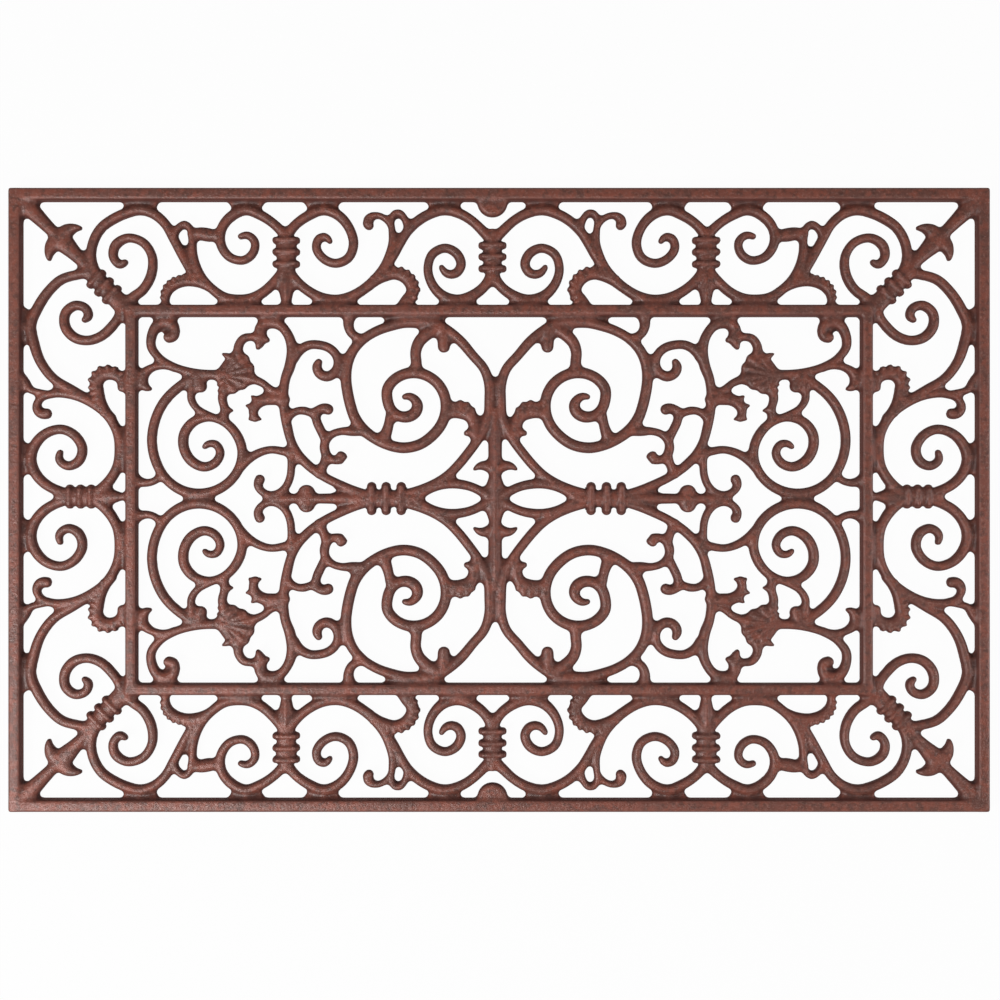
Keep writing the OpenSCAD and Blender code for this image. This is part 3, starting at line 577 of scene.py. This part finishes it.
webbed = poured(as_mesh(pattern, "pattern"), [fused(grain), relaxed(smooth_in), swollen(web), fused(grain),
                                              swollen(-web)])
whole = bmesh.new()
whole.from_mesh(webbed)
whole.from_mesh(as_mesh(relief, "relief"))
carved = bpy.data.meshes.new("carved")
whole.to_mesh(carved)
whole.free()
cast = poured(carved, [fused(grain)] + [relaxed(smooth_in), relaxed(smooth_out)] * smooth_turns)

# Each face belongs to the CAD node that lies under it, seen from above, or to the foot nearest to it.
names = list(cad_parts)
corners, triangles, owner = [], [], []
for k, name in enumerate(names):
    if "foot" in name:
        continue
    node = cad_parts[name].data
    triangles += [[len(corners) + v for v in poly.vertices] for poly in node.polygons]
    owner += [k] * len(node.polygons)
    corners += [v.co.copy() for v in node.vertices]
plan = BVHTree.FromPolygons(corners, triangles)
centre = np.empty(len(cast.polygons) * 3, np.float32)
cast.polygons.foreach_get("center", centre)
centre = centre.reshape(-1, 3)
down = Vector((0, 0, -1))
label = np.empty(len(centre), np.int32)
for i, (x, y, z) in enumerate(centre.tolist()):
    if z < foot_line * MM:
        nearest = min(feet, key=lambda n: (feet[n][0] * MM - x)**2 + (feet[n][1] * MM - y)**2)
        label[i] = names.index(nearest)
        continue
    hit = plan.ray_cast(Vector((x, y, 1)), down)[2]
    if hit is None:
        hit = plan.find_nearest(Vector((x, y, scroll_top * MM)))[2]
    label[i] = owner[hit]

# Stray patches go to the piece around them.
edge_of = np.empty(len(cast.loops), np.int32)
cast.loops.foreach_get("edge_index", edge_of)
totals = np.empty(len(cast.polygons), np.int32)
cast.polygons.foreach_get("loop_total", totals)
face_of = np.repeat(np.arange(len(totals)), totals)
pairs = face_of[np.argsort(edge_of, kind="stable")].reshape(-1, 2)
for sweep in range(stray_sweeps):
    patch = np.arange(len(label))
    same = pairs[label[pairs[:, 0]] == label[pairs[:, 1]]]
    while len(same):
        ends_of = patch[same]
        np.minimum.at(patch, ends_of.max(axis=1), ends_of.min(axis=1))
        while not np.array_equal(patch, patch[patch]):
            patch = patch[patch]
        same = same[patch[same[:, 0]] != patch[same[:, 1]]]
    size = np.bincount(patch, minlength=len(patch))
    largest = np.zeros(len(names), np.int64)
    np.maximum.at(largest, label, size[patch])
    stray = size[patch] < largest[label]
    if not stray.any():
        break
    across = pairs[label[pairs[:, 0]] != label[pairs[:, 1]]]
    across = np.vstack((across, across[:, ::-1]))
    across = across[stray[across[:, 0]]]
    votes, counts = np.unique(patch[across[:, 0]] * len(names) + label[across[:, 1]], return_counts=True)
    for vote in votes[np.argsort(counts)]:
        stray_patch, heir = divmod(int(vote), len(names))
        label[patch == stray_patch] = heir

# The joints are drawn straight along the surface. How hollow or proud the skin is gets marked for the
# finish's painted shade and painted highlight.
ends = np.empty(len(cast.edges) * 2, np.int32)
cast.edges.foreach_get("vertices", ends)
ends = ends.reshape(-1, 2)
place_of = np.empty(len(cast.vertices) * 3, np.float32)
cast.vertices.foreach_get("co", place_of)
place_of = place_of.reshape(-1, 3)
normal = np.empty(len(cast.vertices) * 3, np.float32)
cast.vertex_normals.foreach_get("vector", normal)
normal = normal.reshape(-1, 3)


def neighbours_mean(values, links):
    """The mean of each vertex's neighbours along some edges, and which vertices have any."""
    both = np.concatenate((links, links[:, ::-1]))
    count = np.bincount(both[:, 0], minlength=len(values))
    total = [np.bincount(both[:, 0], column[both[:, 1]], len(values)) for column in values.T]
    return np.stack(total, 1) / np.maximum(count, 1)[:, None], count > 0


joint = ends[label[pairs[:, 0]] != label[pairs[:, 1]]]
for turn in range(joint_turns):
    mean, on_joint = neighbours_mean(place_of, joint)
    shift = (mean - place_of)[on_joint] / 2
    out = normal[on_joint]
    place_of[on_joint] += shift - (shift * out).sum(axis=1)[:, None] * out
place_of = np.clip(place_of, *np.float32(cad_box))
cast.vertices.foreach_set("co", place_of.ravel())

soft = place_of.astype(np.float64)
for turn in range(hollow_turns):
    soft = (soft + neighbours_mean(soft, ends)[0]) / 2
hollow = ((soft - place_of) * normal).sum(axis=1) / MM

# Finish: a rust-brown antique coat over the sand-cast skin, mottled with redder and greyer patches. Painted
# shade makes it darker in the hollows and down the sides, and the rounded backs are made lighter, as wear
# and as painted highlight. It is semi-matt on top, where it is handled and trodden on, and dull down the
# sides.
coat = bpy.data.materials.new("rust_coat_painted_shade_and_highlight")
coat.use_nodes = True
nodes, links = coat.node_tree.nodes, coat.node_tree.links
shader = nodes["Principled BSDF"]
shader.inputs["Metallic"].default_value = 0.1
shader.inputs["Specular IOR Level"].default_value = 0.55
where = nodes.new("ShaderNodeTexCoord").outputs["Object"]


def noise(scale, detail, rough=0.55):
    """Grey mottling of a size, over the casting."""
    node = nodes.new("ShaderNodeTexNoise")
    node.inputs["Scale"].default_value = scale
    node.inputs["Detail"].default_value = detail
    node.inputs["Roughness"].default_value = rough
    links.new(where, node.inputs["Vector"])
    return node.outputs["Fac"]


def graded(value, low, high, to_low=0.0, to_high=1.0):
    """A value's range from low to high, taken to another range and held there."""
    node = nodes.new("ShaderNodeMapRange")
    node.inputs["From Min"].default_value = low
    node.inputs["From Max"].default_value = high
    node.inputs["To Min"].default_value = to_low
    node.inputs["To Max"].default_value = to_high
    links.new(value, node.inputs["Value"])
    return node.outputs["Result"]


def mixed(amount, first, second):
    """A first colour with an amount of a second one over it."""
    node = nodes.new("ShaderNodeMix")
    node.data_type = "RGBA"
    for socket, value in ((node.inputs[0], amount), (node.inputs[6], first), (node.inputs[7], second)):
        if isinstance(value, bpy.types.NodeSocket):
            links.new(value, socket)
        else:
            socket.default_value = value
    return node.outputs[2]


def srgb(r, g, b):
    """A colour from its values on a screen, 0 to 255."""
    return (*[(v / 255 / 12.92 if v < 10.3 else ((v / 255 + 0.055) / 1.055)**2.4) for v in (r, g, b)], 1)


def mark(name):
    """What was marked on the casting: how hollow it is there, in mm, or how far it faces up."""
    node = nodes.new("ShaderNodeAttribute")
    node.attribute_name = name
    return node.outputs["Fac"]


brown = srgb(103, 62, 52)
warm_brown = srgb(120, 66, 53)
red_rust = srgb(134, 70, 53)
dark_spot = srgb(74, 45, 37)
pale_speck = srgb(148, 106, 94)
# Colours laid over the mottling: a lighter one for wear and painted highlight on the backs, and two darker
# ones for painted shade down the sides and in the hollows.
wear_and_painted_highlight = srgb(150, 114, 104)
painted_shade_side = srgb(84, 37, 27)
painted_shade_hollow = srgb(58, 27, 20)
dull = (0.85, 0.85, 0.85, 1)
colour = mixed(graded(noise(24, 3), 0.4, 0.6), brown, warm_brown)
colour = mixed(graded(noise(130, 4), 0.45, 0.62, 0, 0.75), colour, red_rust)
colour = mixed(graded(noise(240, 4), 0.5, 0.66, 0, 0.7), colour, dark_spot)
colour = mixed(graded(noise(560, 3), 0.54, 0.7, 0, 0.5), colour, pale_speck)
# Wear and painted highlight: the proud rounded backs are made lighter by how proud the skin is there.
colour = mixed(graded(mark("hollow"), -0.3, -0.9, 0, 0.15), colour, wear_and_painted_highlight)
# Painted shade: the sides, which face away from the light above, are darkened by how little they face up.
colour = mixed(graded(mark("upward"), 0.97, 0.6, 0, 0.88), colour, painted_shade_side)
# Painted shade: the hollows and creases are darkened by how hollow the skin is there.
colour = mixed(graded(mark("hollow"), 0.0, 0.5, 0, 0.75), colour, painted_shade_hollow)
links.new(colour, shader.inputs["Base Color"])
sheen = graded(noise(260, 3), 0.3, 0.7, 0.3, 0.46)
sheen = mixed(graded(mark("upward"), 0.95, 0.55), sheen, dull)
links.new(sheen, shader.inputs["Roughness"])
sand_grain = nodes.new("ShaderNodeBump")
sand_grain.inputs["Strength"].default_value = 0.7
sand_grain.inputs["Distance"].default_value = 0.0008
links.new(noise(420, 5, 0.65), sand_grain.inputs["Height"])
links.new(sand_grain.outputs["Normal"], shader.inputs["Normal"])

# Pieces: the casting is parted along its joints. Where the iron runs through from one piece to the next,
# each piece gets a wall of its own, so that it is a closed body.
band = 0.04
under_line = board + 0.8


def open_rims(body):
    """The rims where a piece was parted from its neighbours, each as a ring of vertices in order."""
    follows = {}
    for edge in body.edges:
        if edge.is_boundary:
            loop = edge.link_loops[0]
            follows[loop.link_loop_next.vert] = loop.vert
    rims = []
    while follows:
        first = next(iter(follows))
        ring = [first]
        while ring[-1] in follows:
            ring.append(follows.pop(ring[-1]))
        rims.append(ring[:-1])
    return rims


def wall(body, under, over):
    """Faces between the lower and the upper edge of a wall, each taken where the next step is shorter."""
    faces = []
    i = j = 0
    while i < len(under) - 1 or j < len(over) - 1:
        if j == len(over) - 1:
            forward = True
        elif i == len(under) - 1:
            forward = False
        else:
            low_step = (under[i + 1].co - over[j].co).xy.length
            high_step = (under[i].co - over[j + 1].co).xy.length
            forward = low_step < high_step
        if forward:
            faces.append(body.faces.new((under[i], under[i + 1], over[j])))
            i += 1
        else:
            faces.append(body.faces.new((under[i], over[j + 1], over[j])))
            j += 1
    return faces


def close(body, rim):
    """Closes a rim: a narrow band round it, then one face if it lies flat, or a wall from top to bottom."""
    low = [v.co.z < under_line * MM for v in rim]
    middle = sum((v.co for v in rim), Vector()) / len(rim)
    inside = [body.verts.new(v.co.lerp(middle, band)) for v in rim]
    made = [body.faces.new((rim[i - 1], rim[i], inside[i], inside[i - 1])) for i in range(len(rim))]
    if all(low) or not any(low):
        made.append(body.faces.new(inside))
    else:
        start = next(i for i in range(len(rim)) if low[i] and not low[i - 1])
        ring = inside[start:] + inside[:start]
        count = sum(low)
        made += wall(body, ring[:count], ring[count:][::-1])
    for face in made:
        face.smooth = False
        for edge in face.edges:
            edge.smooth = False


corner_of = np.empty(len(cast.loops), np.int32)
cast.loops.foreach_get("vertex_index", corner_of)
corner_of = corner_of.reshape(-1, 4)
for k, name in enumerate(names):
    used, faces = np.unique(corner_of[label == k], return_inverse=True)
    skin = bpy.data.meshes.new("cast_" + name)
    skin.from_pydata(place_of[used], [], faces.reshape(-1, 4), shade_flat=False)
    for mark_name, values in (("hollow", hollow), ("upward", normal[:, 2])):
        marks = skin.attributes.new(mark_name, "FLOAT", "POINT").data
        marks.foreach_set("value", values[used].astype(np.float32))
    piece = bpy.data.objects.new(skin.name, skin)
    bpy.context.scene.collection.objects.link(piece)
    body = bmesh.new()
    body.from_mesh(piece.data)
    for rim in open_rims(body):
        close(body, rim)
    body.to_mesh(piece.data)
    body.free()
    piece.data.materials.append(coat)
    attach(piece, "root")
    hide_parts(name)

# Ground: a plain white floor, which takes only the mat's own soft shadow. It is a flat matt sheet a hair
# below the feet, and it looks white to the eye and in the gloss without lighting the mat more.
floor_reach = 6
floor_drop = 0.0001
floor_grey = 0.55
floor_white = 0.97


def looked_at(tree):
    """One for a ray from the eye, a glossy surface or a clear body, and none for other light."""
    rays = tree.nodes.new("ShaderNodeLightPath").outputs
    looks = rays["Is Camera Ray"]
    for ray in ("Is Glossy Ray", "Is Transmission Ray"):
        either = tree.nodes.new("ShaderNodeMath")
        either.operation = "MAXIMUM"
        tree.links.new(looks, either.inputs[0])
        tree.links.new(rays[ray], either.inputs[1])
        looks = either.outputs[0]
    return looks


floor = bmesh.new()
bmesh.ops.create_grid(floor, x_segments=1, y_segments=1, size=floor_reach)
bmesh.ops.translate(floor, vec=(0, 0, -floor_drop), verts=floor.verts)
floor_mesh = bpy.data.meshes.new("floor")
floor.to_mesh(floor_mesh)
floor.free()
white = bpy.data.materials.new("white_floor")
white.use_nodes = True
floor_nodes, floor_links = white.node_tree.nodes, white.node_tree.links
floor_nodes.remove(floor_nodes["Principled BSDF"])
matt = floor_nodes.new("ShaderNodeBsdfDiffuse")
matt.inputs["Color"].default_value = (floor_grey, floor_grey, floor_grey, 1)
glow = floor_nodes.new("ShaderNodeEmission")
share = floor_nodes.new("ShaderNodeMath")
share.operation = "MULTIPLY"
share.inputs[1].default_value = floor_white
floor_links.new(looked_at(white.node_tree), share.inputs[0])
blend = floor_nodes.new("ShaderNodeMixShader")
floor_links.new(share.outputs[0], blend.inputs[0])
floor_links.new(matt.outputs[0], blend.inputs[1])
floor_links.new(glow.outputs[0], blend.inputs[2])
floor_links.new(blend.outputs[0], floor_nodes["Material Output"].inputs["Surface"])
floor_mesh.materials.append(white)
floor_thing = bpy.data.objects.new("floor", floor_mesh)
bpy.context.scene.collection.objects.link(floor_thing)

# Light: a soft key panel over the near left corner, a narrow low panel along the right side, which picks
# out the edges, and an even dim sky. A white surround stands low round the mat, for the eye and the gloss.
sky_light = 0.22
surround_white = 1
surround_height = 0.3
scene = bpy.context.scene
scene.view_settings.view_transform = "Standard"
world = bpy.data.worlds.new("studio")
world.use_nodes = True
sky_nodes, sky_links = world.node_tree.nodes, world.node_tree.links
sky_nodes["Background"].inputs["Color"].default_value = (1, 1, 1, 1)
sky_level = sky_nodes.new("ShaderNodeMapRange")
sky_level.inputs["To Min"].default_value = sky_light
sky_level.inputs["To Max"].default_value = surround_white
toward = sky_nodes.new("ShaderNodeSeparateXYZ")
sky_links.new(sky_nodes.new("ShaderNodeTexCoord").outputs["Generated"], toward.inputs[0])
low_down = sky_nodes.new("ShaderNodeMath")
low_down.operation = "LESS_THAN"
low_down.inputs[1].default_value = surround_height
sky_links.new(toward.outputs["Z"], low_down.inputs[0])
surround = sky_nodes.new("ShaderNodeMath")
surround.operation = "MULTIPLY"
sky_links.new(low_down.outputs[0], surround.inputs[0])
sky_links.new(looked_at(world.node_tree), surround.inputs[1])
sky_links.new(surround.outputs[0], sky_level.inputs["Value"])
sky_links.new(sky_level.outputs["Result"], sky_nodes["Background"].inputs["Strength"])
scene.world = world


def hang_panel(name, spot, size, power):
    """A rectangular soft light that faces the middle of the mat."""
    light = bpy.data.lights.new(name, "AREA")
    light.shape = "RECTANGLE"
    light.size, light.size_y = size
    light.energy = power
    lamp = bpy.data.objects.new(name, light)
    lamp.location = spot
    lamp.rotation_euler = (-Vector(spot)).to_track_quat("-Z", "Y").to_euler()
    scene.collection.objects.link(lamp)


hang_panel("key", spot=(-0.85, -0.65, 1.3), size=(0.6, 0.6), power=23.5)
hang_panel("edge", spot=(1.3, -0.2, 0.45), size=(0.12, 1.6), power=8)

# Camera: straight down on the mat, as in the photo. The view is as wide as the photo's at the height of the
# outer rails, and the mat's middle lies where it does there.
lens_height = 1.4
view_width = 0.7487
photo_px = 1000
centre_px = (499.1, 499.9)
film_width = 36
lens = bpy.data.cameras.new("camera")
lens.sensor_width = film_width
lens.lens = film_width * (lens_height - outer_top * MM) / view_width
camera = bpy.data.objects.new("camera", lens)
camera.location = ((photo_px / 2 - centre_px[0]) * view_width / photo_px,
                   (centre_px[1] - photo_px / 2) * view_width / photo_px, lens_height)
scene.collection.objects.link(camera)
scene.camera = camera
